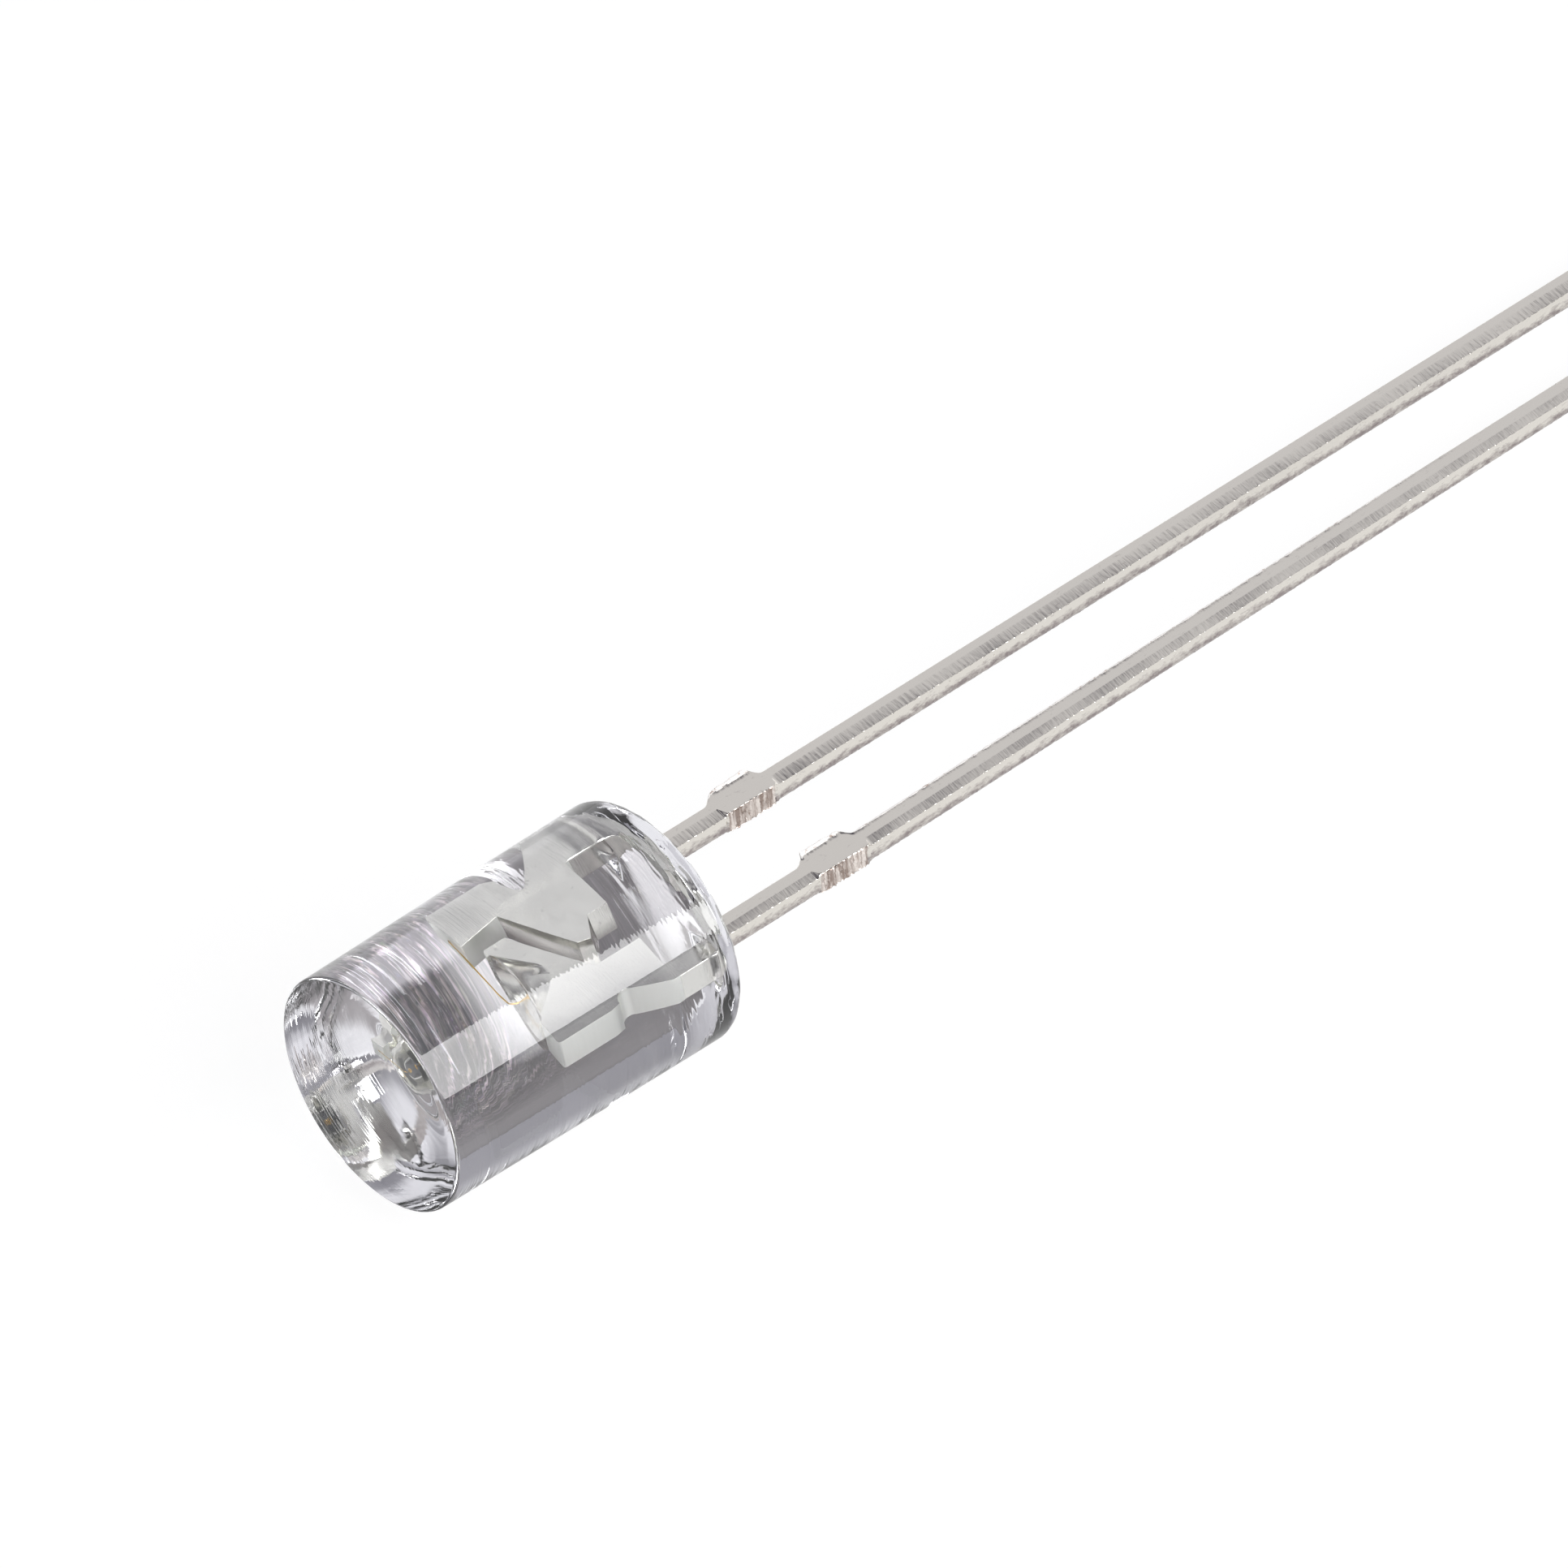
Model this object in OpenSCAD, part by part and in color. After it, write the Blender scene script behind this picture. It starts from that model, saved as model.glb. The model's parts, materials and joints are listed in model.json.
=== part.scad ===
// Through-hole LED, 5 mm, water-clear body without a flange and with a hollow (concave) nose.
// It is drawn about its own axis first: base plane at y = 0, nose towards -Y, leads towards +Y,
// leadframe flat in the XY plane. Then it is laid down as it comes to rest on a table: the base rim
// and the tips of both leads touch z = 0, and the nose stands a little off it.

/* [Body] */
// Length of the body from its base to the rim of the nose
body_len = 6.87; // [6:0.1:9]
// Diameter of the body at its base, which sets the hole or holder it fits
body_d = 5; // [4.8:0.1:6]
// Length of the straight side next to the base, which a holder grips
straight_len = 2.2; // [1:0.1:4]
// Diameter of the body at its nose, less than at the base so that it leaves its mould
nose_d = 4.83; // [4.6:0.01:5]
// Rounding of the rim between the side and the nose
rim_r = 0.19; // [0.05:0.01:0.25]
// Rounding of the edge between the side and the base
base_r = 0.25; // [0.05:0.01:0.4]
// Diameter of the hollow in the nose
dish_d = 3.8; // [3:0.1:4.3]
// Depth of the hollow in the nose
dish_depth = 0.35; // [0.1:0.05:1.3]

/* [Leads] */
// Distance between the middles of the two leads where they leave the base
lead_pitch = 2.54; // [2.3:0.01:2.7]
// Width of a lead, across the leadframe
lead_w = 0.45; // [0.4:0.01:0.6]
// Thickness of the leadframe sheet
sheet_t = 0.45; // [0.4:0.01:0.6]
// Free length of the anode lead, the longer one
anode_free = 27.4; // [26:0.1:32]
// Free length of the cathode lead
cathode_free = 25.4; // [18:0.1:27]
// Angle by which the cathode lead leans towards the anode lead, from the cut tie bar on
cathode_lean = 0.65; // [0:0.05:1]

/* [Cut tie bar] */
// Distance from the base to where the tie bar was cut off
stub_start = 2.78; // [2:0.01:4]
// Length of the cut stub along the lead
stub_len = 1.18; // [0.8:0.01:1.6]
// How far the stub stands out on the side away from the cutting edge
stub_out = 0.21; // [0.05:0.01:0.3]
// How far it stands out on the side of the cutting edge
stub_near = 0.02; // [0.01:0.01:0.1]
// Length of the ramp from the lead up to the stub
stub_ramp = 0.3; // [0.1:0.05:0.5]

/* [Leadframe inside the body] */
// Height of the end of the anode post above the base
post_h = 3.9; // [3.7:0.05:4.5]
// Height of the end of the cathode anvil above the base
anvil_h = 3.82; // [3.75:0.01:4.4]
// Distance from the axis to the outer edges of post and anvil
frame_half = 1.33; // [1.3:0.01:1.5]
// How far the shoulders' outer corners stand out past the leads' outer edges
shoulder_step = 0.005; // [0.005:0.005:0.1]
// Height of the shoulders' lower edge above the base
shoulder_h = 1.1; // [0.8:0.05:1.2]
// Distance from the axis to the bottom of the keying notches
notch_half = 1.05; // [0.95:0.01:1.2]
// Height of the middle of the keying notches above the base
notch_h = 2.1; // [1.9:0.05:2.2]
// How far the anvil's inner edge stands out past the cup's rim
anvil_margin = 0.06; // [0.03:0.01:0.1]
// Gap between the inner edges of post and anvil at the post's end
post_gap = 0.18; // [0.14:0.01:0.22]
// How much further from the axis the post's inner edge is at the top of the slant than at its end
post_lean = 0.08; // [0.04:0.01:0.1]
// Gap between the slanted edges of post and anvil
slant_gap = 0.34; // [0.25:0.01:0.4]
// Half the gap between the inner edges of the two shoulders
foot_half = 0.36; // [0.3:0.01:0.45]
// Rounding of the outer corners of post and anvil
corner_r = 0.08; // [0.04:0.01:0.12]

/* [Reflector cup] */
// Height of the cup's rim above the base
cup_h = 3.7; // [3.6:0.02:3.74]
// Thickness of the cup's wall at its rim
cup_wall = 0.12; // [0.05:0.01:0.15]
// Angle of the cup's inner wall off the axis
cup_angle = 32; // [20:1:35]
// How far the cup's floor reaches past the chip's corners
floor_margin = 0.038; // [0.03:0.001:0.08]
// Depth of the cup
cup_depth = 0.4; // [0.3:0.02:0.5]
// Length over which the cup's outside runs down to the sheet
cup_taper = 0.74; // [0.6:0.02:0.9]

/* [Chip and wire] */
// Side of the square chip
chip_w = 0.3; // [0.2:0.01:0.32]
// Height of the chip
chip_t = 0.18; // [0.1:0.01:0.22]
// Gap between the adhesive dot under the chip and the edge of the cup's floor
glue_gap = 0.03; // [0.01:0.005:0.035]
// Thickness of the adhesive under the chip
glue_t = 0.02; // [0.01:0.01:0.04]
// Diameter of the bond wire
wire_d = 0.03; // [0.02:0.005:0.05]
// Bend radius where the wire turns off the chip
wire_bend = 0.12; // [0.08:0.01:0.15]
// How far the wire's straight run passes above the end of the post
wire_clear = 0.07; // [0.06:0.01:0.15]

/* [Hidden] */
$fn = 96;
past = 1; // how far cutting tools run past what they cut
lap = 0.05; // how far flat outlines that are joined run into each other
body_r = body_d / 2;
nose_r = nose_d / 2;
// slope of the side past its straight part: radius lost for each millimetre towards the nose
draft = (body_r - nose_r) / (body_len - straight_len);
// radius of the sphere that hollows the nose
dish_r = (pow(dish_d / 2, 2) + pow(dish_depth, 2)) / (2 * dish_depth);
// half the distance between the leads
half_pitch = lead_pitch / 2;
// distance from the base to the end of the tie bar's stub
cut_end = stub_start + stub_len;
// distance from the axis to the outer corners of the shoulders
shoulder_half = half_pitch + lead_w / 2 + shoulder_step;
// the cup is sized outwards from the chip, and the edges of anvil and post outwards from the cup
floor_d = sqrt(2) * chip_w + 2 * floor_margin;
mouth_d = floor_d + 2 * cup_depth * tan(cup_angle);
cup_d = mouth_d + 2 * cup_wall;
glue_d = floor_d - 2 * glue_gap;
anvil_in = cup_d / 2 + anvil_margin;
post_in = anvil_in + post_gap;
// corner where the post's straight inner edge meets its slanted one, and the tip of the slant
slant_top = [-post_in - post_lean, 2.92];
slant_tip = [-0.1, 2.13];
// tip of the tongue under the slant, and the height at which its underside meets the post's shoulder
tongue_tip = [-0.05, 1.85];
tongue_root_h = 1.58;
// unit vector down the slant, and the one square to it, pointing at the anvil
slant_dir = (slant_tip - slant_top) / norm(slant_tip - slant_top);
slant_out = [-slant_dir[1], slant_dir[0]];
anvil_on_slant = slant_top + slant_gap * slant_out;
// height on the anvil's slanted edge at a distance x across
function anvil_slant_h(x) = anvil_on_slant[1] + (x - anvil_on_slant[0]) * slant_dir[1] / slant_dir[0];
// where the ramp below a keying notch starts: this far out from the notch's bottom and below its middle
ramp_out = 0.03;
ramp_below = 0.1;
cup_floor_h = cup_h - cup_depth;
chip_top_h = cup_floor_h + glue_t + chip_t;
wire_run_h = post_h + wire_clear;
// the wire lands half way across the end of the post
wire_land = -(post_in + frame_half) / 2;
// share of the wire's clearance over the post that its last bend takes
land_share = 0.7;
// the ball bonded to the chip is three wires wide and one high
ball_d = 3 * wire_d;
ball_h = wire_d;

// A point turned by an angle about the origin.
function turned(p, angle) = [p[0] * cos(angle) - p[1] * sin(angle), p[0] * sin(angle) + p[1] * cos(angle)];

// Rest position. The table is the plane z = -drop + roll_slope * x + tilt_slope * y in the part's own
// frame. It touches the base rounding and the lower right corner of each lead's tip.
tip_a = [-half_pitch + lead_w / 2, anode_free];
tip_c = [half_pitch, cut_end] + turned([lead_w / 2, cathode_free - cut_end], cathode_lean);
roll_share = (tip_a[1] - tip_c[1]) / (tip_c[0] - tip_a[0]);
function drop(t) = (body_r - base_r) * sqrt(1 + pow(roll_share * t, 2))
    + base_r * (sqrt(1 + t * t * (1 + roll_share * roll_share)) - t);
function settle(t, n) = n == 0 ? t
    : settle((drop(t) - sheet_t / 2) / (tip_a[1] + roll_share * tip_a[0]), n - 1);
first_slope = 0.08; // a guess from which the slope settles in a few steps
settle_steps = 6;
tilt_slope = settle(first_slope, settle_steps);
roll_slope = roll_share * tilt_slope;
tilt = -atan(tilt_slope);
roll = atan(roll_slope / sqrt(1 + tilt_slope * tilt_slope));
rest_h = drop(tilt_slope) / sqrt(1 + tilt_slope * tilt_slope + roll_slope * roll_slope);
// middle of the laid-down part along Y, from the anode's tip to the nose rim
mid_y = ((anode_free - body_len) * cos(tilt) + (sheet_t / 2 - nose_r + rim_r) * sin(-tilt)) / 2;

// Lays down what is drawn about the body's axis.
module at_rest() {
    translate([0, -mid_y, rest_h]) rotate([tilt, roll, 0]) children();
}

// Turns a shape drawn with its axis along Z, pointing at the nose, into the part's own frame.
module along_axis(h) {
    translate([0, -h, 0]) rotate([90, 0, 0]) children();
}

// Half section of the body: distance from the axis across, height above the base up.
module body_section() {
    difference() {
        union() {
            polygon([[0, 0], [body_r - base_r, 0], [body_r, base_r], [body_r, straight_len],
                     [nose_r + draft * rim_r, body_len - rim_r], [nose_r - rim_r, body_len],
                     [0, body_len]]);
            intersection() {
                translate([body_r - base_r, base_r]) circle(r = base_r);
                square([body_r, base_r]);
            }
            intersection() {
                translate([nose_r - rim_r, body_len - rim_r]) circle(r = rim_r);
                translate([0, body_len - rim_r]) square([body_r, rim_r]);
            }
        }
        translate([0, body_len - dish_depth + dish_r]) circle(r = dish_r);
        translate([-body_d, -past]) square([body_d, body_len + 2 * past]);
    }
}

// The leadframe's outlines are drawn flat: distance across, and height above the base counted up.
// One lead, its root in the shoulder and its middle line on x = 0; past the cut stub it leans by an angle.
module lead_outline(len, lean) {
    side = lead_w / 2;
    far = -side - stub_out;
    near = side + stub_near;
    stub_end = [0, -cut_end];
    polygon([[side, shoulder_h + lap], [-side, shoulder_h + lap],
             [-side, -stub_start + stub_ramp / 2], [far, -stub_start - stub_ramp / 2],
             [far, -cut_end + stub_out / 2], [-side, -cut_end],
             stub_end + turned([-side, cut_end - len], -lean),
             stub_end + turned([side, cut_end - len], -lean),
             [side, -cut_end], [near, -cut_end + stub_near], [near, -stub_start - stub_near],
             [side, -stub_start]]);
}

// What is cut off a square corner to round it; side is the side of the axis that it lies on.
module corner_cut(side, x, h) {
    translate([side * (x - corner_r), h - corner_r]) difference() {
        translate([side > 0 ? 0 : -corner_r - past, 0]) square(corner_r + past);
        circle(r = corner_r);
    }
}

// Keying notch in an outer edge: a round bottom, an undercut above it and a long ramp below.
module keying_notch(side) {
    notch_r = (shoulder_half - notch_half) / 2;
    translate([side * (notch_half + notch_r), notch_h]) circle(r = notch_r);
    polygon([[side * (notch_half + notch_r), notch_h + notch_r],
             [side * (notch_half + ramp_out), notch_h - ramp_below],
             [side * shoulder_half, shoulder_h + lap], [side * (shoulder_half + past), shoulder_h + lap],
             [side * (shoulder_half + past), notch_h + 2 * notch_r],
             [side * frame_half, notch_h + 2 * notch_r]]);
}

// Outline of the anode inside the body and out.
module anode_outline() {
    difference() {
        polygon([[-foot_half, shoulder_h], [-foot_half, tongue_root_h], tongue_tip, slant_tip,
                 slant_top, [-post_in, post_h], [-frame_half, post_h], [-frame_half, notch_h],
                 [-shoulder_half, notch_h], [-shoulder_half, shoulder_h]]);
        keying_notch(-1);
        corner_cut(-1, frame_half, post_h);
    }
    translate([-half_pitch, 0]) lead_outline(anode_free, 0);
}

// Outline of the cathode inside the body and out.
module cathode_outline() {
    step = anvil_h - cup_h;
    difference() {
        polygon([[shoulder_half, shoulder_h], [shoulder_half, notch_h], [frame_half, notch_h],
                 [frame_half, anvil_h], [cup_d / 2 + step, anvil_h], [cup_d / 2, cup_h], [-anvil_in, cup_h],
                 [-anvil_in, anvil_slant_h(-anvil_in)], [foot_half, anvil_slant_h(foot_half)],
                 [foot_half, shoulder_h]]);
        keying_notch(1);
        corner_cut(1, frame_half, anvil_h);
        corner_cut(-1, anvil_in, cup_h);
    }
    translate([half_pitch, 0]) lead_outline(cathode_free, cathode_lean);
}

// A flat outline made into sheet in the part's own frame, heights pointing to -Y.
module sheet() {
    rotate([180, 0, 0]) translate([0, 0, -sheet_t / 2]) linear_extrude(sheet_t) children();
}

module anode_solid() {
    sheet() anode_outline();
}

// Outside of the reflector cup, a cone that runs down into the sheet.
module cup_cone() {
    along_axis(cup_h - cup_taper) cylinder(h = cup_taper, d1 = sheet_t, d2 = cup_d);
}

module cup_hollow() {
    along_axis(cup_floor_h) cylinder(h = cup_depth, d1 = floor_d, d2 = mouth_d);
}

module cathode_solid() {
    difference() {
        union() {
            sheet() cathode_outline();
            cup_cone();
        }
        cup_hollow();
    }
}

module glue_solid() {
    along_axis(cup_floor_h) cylinder(h = glue_t, d = glue_d);
}

module chip_solid() {
    along_axis(cup_floor_h + glue_t) translate([-chip_w / 2, -chip_w / 2, 0]) cube([chip_w, chip_w, chip_t]);
}

// A quarter turn of wire of bend radius r about the origin, from the +X side to the +Y side.
module wire_turn(r) {
    rotate_extrude(angle = 90) translate([r, 0]) circle(d = wire_d);
}

module wire_solid() {
    land_bend = land_share * wire_clear;
    rise = wire_run_h - wire_bend - chip_top_h;
    run = -wire_land - wire_bend - land_bend;
    along_axis(chip_top_h) cylinder(h = ball_h, d = ball_d);
    along_axis(chip_top_h) cylinder(h = rise, d = wire_d);
    translate([-wire_bend, -wire_run_h + wire_bend, 0]) mirror([0, 1]) wire_turn(wire_bend);
    translate([-wire_bend - run, -wire_run_h, 0]) rotate([0, 90, 0]) cylinder(h = run, d = wire_d);
    translate([wire_land + land_bend, -wire_run_h + land_bend, 0]) rotate(180) wire_turn(land_bend);
    translate([wire_land, 0, 0]) along_axis(post_h) cylinder(h = wire_clear - land_bend, d = wire_d);
}

module lens_body() {
    color([0.88, 0.9, 0.95, 0.35]) at_rest() difference() {
        rotate([90, 0, 0]) rotate_extrude() body_section();
        anode_solid();
        cathode_solid();
        glue_solid();
        chip_solid();
        wire_solid();
    }
}

module anode_lead() {
    color("silver") at_rest() anode_solid();
}

module cathode_lead() {
    color("lightgray") at_rest() cathode_solid();
}

module led_chip() {
    color("dimgray") at_rest() chip_solid();
}

module chip_glue() {
    color("whitesmoke") at_rest() glue_solid();
}

module bond_wire() {
    color("gold") at_rest() wire_solid();
}

lens_body();
anode_lead();
cathode_lead();
led_chip();
chip_glue();
bond_wire();
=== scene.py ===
"""The finish of a clear 5 mm through-hole LED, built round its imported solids.

Sizes that belong to this script are in the part's own frame: the origin in the middle of the body's base,
X across the leads from the anode to the cathode, Y along the leads and Z square to the leadframe sheet.
"""

import json
import math

import bmesh
import bpy
import numpy as np
from bpy.props import FloatProperty, FloatVectorProperty, PointerProperty
from mathutils import Matrix, Vector


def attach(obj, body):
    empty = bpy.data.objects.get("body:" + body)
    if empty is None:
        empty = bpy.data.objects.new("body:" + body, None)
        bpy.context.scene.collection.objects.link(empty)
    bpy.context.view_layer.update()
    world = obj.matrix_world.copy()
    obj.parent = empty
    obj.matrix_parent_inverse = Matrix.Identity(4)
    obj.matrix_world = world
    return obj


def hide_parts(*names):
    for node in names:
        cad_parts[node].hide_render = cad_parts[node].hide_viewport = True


bl_info = {
    "name": "Through-hole LED finish",
    "version": (1, 0, 0),
    "blender": (4, 5, 0),
    "location": "View3D > Sidebar > LED",
    "description": "Builds the visible pieces and the studio of a clear through-hole LED",
    "category": "Object",
}

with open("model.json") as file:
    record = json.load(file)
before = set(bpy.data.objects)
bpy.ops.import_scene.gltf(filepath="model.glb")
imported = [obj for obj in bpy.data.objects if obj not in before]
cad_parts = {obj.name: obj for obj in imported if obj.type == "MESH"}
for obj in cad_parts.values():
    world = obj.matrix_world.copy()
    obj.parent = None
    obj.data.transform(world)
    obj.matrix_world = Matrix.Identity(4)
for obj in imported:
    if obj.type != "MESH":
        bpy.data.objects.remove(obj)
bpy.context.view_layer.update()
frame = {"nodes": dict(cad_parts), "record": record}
MM = 0.001


# ---------------------------------------------------------------- the part's own frame


def node_points(name):
    """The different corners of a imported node's mesh, in metres, in the row frame."""
    mesh = frame["nodes"][name].data
    points = np.empty(3 * len(mesh.vertices))
    mesh.vertices.foreach_get("co", points)
    return np.unique(points.reshape(-1, 3).round(8), axis=0)


def own_frame():
    """Origin and axes of the part's own frame. The sheet's normal is the direction in which the flat
    anode is thinnest, which is the last axis of its corners' singular value decomposition."""
    base = next(mount for mount in frame["record"]["mounts"] if mount["name"] == "base")
    along = np.array(base["axis"]) / np.linalg.norm(base["axis"])
    sheet = node_points("anode_lead")
    square = np.linalg.svd(sheet - sheet.mean(axis=0), full_matrices=False)[2][2]
    square *= np.sign(square[2])
    square -= along * (square @ along)
    square /= np.linalg.norm(square)
    return np.array(base["pos_m"]), np.column_stack([np.cross(along, square), along, square])


ORIGIN, AXES = own_frame()


def to_row(points):
    """Points in millimetres in the part's own frame, as metres in the row frame."""
    return ORIGIN + MM * (np.asarray(points) @ AXES.T)


def to_own(points):
    """Points in metres in the row frame, as millimetres in the part's own frame."""
    return (np.asarray(points) - ORIGIN) @ AXES / MM


BODY = to_own(node_points("lens_body"))
ANODE = to_own(node_points("anode_lead"))
CATHODE = to_own(node_points("cathode_lead"))
CHIP = to_own(node_points("led_chip"))
GLUE = to_own(node_points("chip_glue"))
WIRE = to_own(node_points("bond_wire"))

BODY_LEN = -BODY[:, 1].min()
BODY_R = np.hypot(BODY[:, 0], BODY[:, 2]).max()
SHEET_T = np.ptp(ANODE[:, 2])
LEAD_W = np.ptp(ANODE[ANODE[:, 1] > ANODE[:, 1].max() - 0.001, 0])
ANODE_X = ANODE[ANODE[:, 1] > ANODE[:, 1].max() - 0.001, 0].mean()
POST_H = -ANODE[:, 1].min()
CHIP_TOP_H = -CHIP[:, 1].min()
CHIP_W = np.ptp(CHIP[:, 0])
GLUE_R = np.hypot(GLUE[:, 0], GLUE[:, 2]).max()
WIRE_D = 0.024
WIRE_H = -WIRE[:, 1].min() - WIRE_D / 2
PAD_R = 0.055

# Y at which the leads' own surfaces take over from the plates', and where the cut tie-bar stubs start and end
CUT_Y = -1.0
STUB_START, STUB_END = 2.78, 3.96


# ---------------------------------------------------------------- settings


def linear(code):
    """An sRGB hex code such as "#8090A0" as the linear colour that nodes take."""
    parts = np.array([int(code[i:i + 2], 16) for i in (1, 3, 5)]) / 255
    low, high = parts / 12.92, ((parts + 0.055) / 1.055) ** 2.4
    return tuple(np.where(parts <= 0.04045, low, high)) + (1.0,)


def length(name, description, millimetres):
    """A length property, given in millimetres."""
    return FloatProperty(name=name, description=description, default=millimetres * MM, unit="LENGTH", precision=6)


def colour(name, description, code):
    """A colour property, given as an sRGB hex code."""
    return FloatVectorProperty(name=name, description=description, default=linear(code), size=4,
                               subtype="COLOR", min=0, max=1)


class LedBodySettings(bpy.types.PropertyGroup):
    """Shape and finish of the cast epoxy body."""

    nose_r: length("Nose radius", "Radius of the body at its nose", 2.415)
    rim_r: length("Rim rounding", "Rounding between the side and the nose", 0.07)
    base_r: length("Base rounding", "Rounding between the side and the base", 0.2)
    dish_r: length("Dish radius", "Radius of the hollow in the nose at its mouth", 2.2)
    dish_depth: length("Dish depth", "Depth of the hollow in the nose", 0.3)
    dish_ease: FloatProperty(name="Dish ease", description="1 for a sharp mouth, more for a soft one", default=1.5)
    ring_height: length("Ring height", "Height of the rings that the turned mould leaves on the side", 0.00022)
    sag: length("Base sag", "How far the poured base lies below its rim", 0.3)
    wave_height: length("Wave height", "Height of the waves in the poured base, at its edge", 0.006)
    climb: length("Base climb", "How far the epoxy climbs each lead", 0.28)
    clear: colour("Epoxy", "Colour that the epoxy gives to light passing through", "#FBFBFF")


class LedMetalSettings(bpy.types.PropertyGroup):
    """Finish of the leadframe, the chip and the wire."""

    tin: colour("Tin plate", "Bright tin on the leads outside the body", "#D9D5CE")
    silver: colour("Silver plate", "Silver on the leadframe inside the body", "#E9E9E1")
    # painted shade: the tin's darker, greyer colour low on the leads
    shade_painted: colour("Worn plate", "The leads' tin where it is worn low on them", "#7D7274")
    blanked: colour("Blanked edge", "Matt silver on the edges of the leadframe inside the body", "#EAECE5")
    sheared: colour("Sheared steel", "Bare steel where the tie bar was cut", "#DED6D0")
    gold: colour("Gold wire", "Drawn gold of the bond wire", "#E8C060")


class LedStudioSettings(bpy.types.PropertyGroup):
    """Camera and light."""

    azimuth: FloatProperty(name="Azimuth", description="Camera's direction round the part",
                           default=math.radians(56.605), subtype="ANGLE")
    elevation: FloatProperty(name="Elevation", description="Camera's height above the horizon",
                             default=math.radians(38.740), subtype="ANGLE")
    roll: FloatProperty(name="Roll", description="Turn of the camera about its own line of sight",
                        default=math.radians(-13.235), subtype="ANGLE")
    distance: length("Distance", "From the camera to the point it looks at", 300)
    lens: FloatProperty(name="Lens", description="Focal length in millimetres", default=377.1)


def settings():
    """The scene's settings, as (body, metal, studio)."""
    scene = bpy.context.scene
    return scene.led_body, scene.led_metal, scene.led_studio


# ---------------------------------------------------------------- meshes


def grid_faces(rows, columns):
    """Quads of a grid of rows x columns points, closed across the columns."""
    row, column = np.meshgrid(np.arange(rows - 1), np.arange(columns), indexing="ij")
    here, there = row * columns + column, row * columns + (column + 1) % columns
    return np.stack([here, there, there + columns, here + columns], axis=-1).reshape(-1, 4)


def new_piece(name, points, faces):
    """A smooth mesh object at the origin from points in the part's own frame and lists of corner numbers."""
    mesh = bpy.data.meshes.new(name)
    mesh.from_pydata(to_row(points).tolist(), [], [list(face) for face in faces])
    mesh.polygons.foreach_set("use_smooth", [True] * len(mesh.polygons))
    mesh.validate()
    piece = bpy.data.objects.new(name, mesh)
    bpy.context.scene.collection.objects.link(piece)
    return piece


def skin(grid):
    """Points and faces of a grid of rings (rows x around x 3), closed by a point in the middle of each end."""
    rows, around = grid.shape[:2]
    points = np.vstack([grid.reshape(-1, 3), grid[0].mean(axis=0), grid[-1].mean(axis=0)])
    step = np.arange(around)
    after = (step + 1) % around
    start = np.stack([np.full(around, rows * around), after, step], axis=-1)
    last = (rows - 1) * around
    end = np.stack([np.full(around, rows * around + 1), step + last, after + last], axis=-1)
    return points, [*grid_faces(rows, around), *start, *end]


def turned_grid(profile, around):
    """A profile of (distance from the axis, height above the base) carried round the body's axis:
    x = r cos a, y = -h, z = r sin a."""
    angle = 2 * math.pi * np.arange(around) / around
    radius, height = np.asarray(profile)[:, 0, None], np.asarray(profile)[:, 1, None]
    return np.stack([radius * np.cos(angle), -height + 0 * angle, radius * np.sin(angle)], axis=-1)


def marks(shape, step, finest, coarsest, run, seed):
    """Fine surface marks on a grid of rows x columns: white noise from which only the spacings between finest and
    coarsest are kept from row to row, and only what runs on for about the length run from column to column. All
    lengths are in millimetres, step holds the grid's two, and the marks have a height of 1 (root mean square)."""
    noise = np.fft.fft2(np.random.default_rng(seed).normal(size=shape))
    along = np.abs(np.fft.fftfreq(shape[0], step[0]))[:, None]
    across = np.abs(np.fft.fftfreq(shape[1], step[1]))[None]
    kept = (along > 1 / coarsest) * (along < 1 / finest) * np.exp(-(across * run) ** 2)
    field = np.fft.ifft2(noise * kept).real
    return field / field.std()


def rise(start, end, value, low=0, high=1):
    """low below start, high above end and a soft rise between them: low + (high - low) p^2 (3 - 2 p)."""
    part = np.clip((value - start) / (end - start), 0, 1)
    return low + (high - low) * part * part * (3 - 2 * part)


def arc(centre, radius, start, end, count):
    """Points of an arc, angles in degrees."""
    angle = np.radians(np.linspace(start, end, count))
    return np.column_stack([centre[0] + radius * np.cos(angle), centre[1] + radius * np.sin(angle)])


# ---------------------------------------------------------------- materials


# painted shadow and painted light that stand in for what the clear body casts on the paper under it, as what looks
# through the epoxy sees it
PAPER = (0.76, 0.76, 0.77)
PAINTED_SHADE = (0.118, 0.108, 0.110)
PAINTED_UNDER_SHADE = (0.21, 0.19, 0.195)
PAINTED_LIGHT_BAND = (0.60, 0.57, 0.60)
# the painted shade and light across the paper: own X in mm, light, and how far the painted streaks show there
RAMP_REACH = 4
RAMP = ((-2.30, PAINTED_SHADE, 1), (-2.18, PAINTED_LIGHT_BAND, 0.4), (-1.52, PAINTED_LIGHT_BAND, 0.4), (-1.40, PAINTED_UNDER_SHADE, 1), (0.0, PAINTED_UNDER_SHADE, 1),
        (1.5, PAPER, 1))
# one painted bright spot of light on the paper: its place and strength, and the radii in mm between which it fades out
PAINTED_SPOT_PLACE, PAINTED_SPOT_LIGHT, PAINTED_SPOT_BRIGHT_R, PAINTED_SPOT_DARK_R = (-2.45, -2.15, -2.5), 0.62, 0.55, 1.15
DISTANT_PAPER = (0.88, 0.88, 0.88, 1)
SEEN_PAPER = (0.9, 0.9, 0.9, 1)

ROOM_TINT = (0.155, 0.15, 0.175, 1)
WALL_SIDE, WALL_LIGHT = (-0.45, 0.89, 0), 0.66
FRONT_SIDE, FRONT_LIGHT = (-0.3, -0.95, 0.1), 0.5
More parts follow.
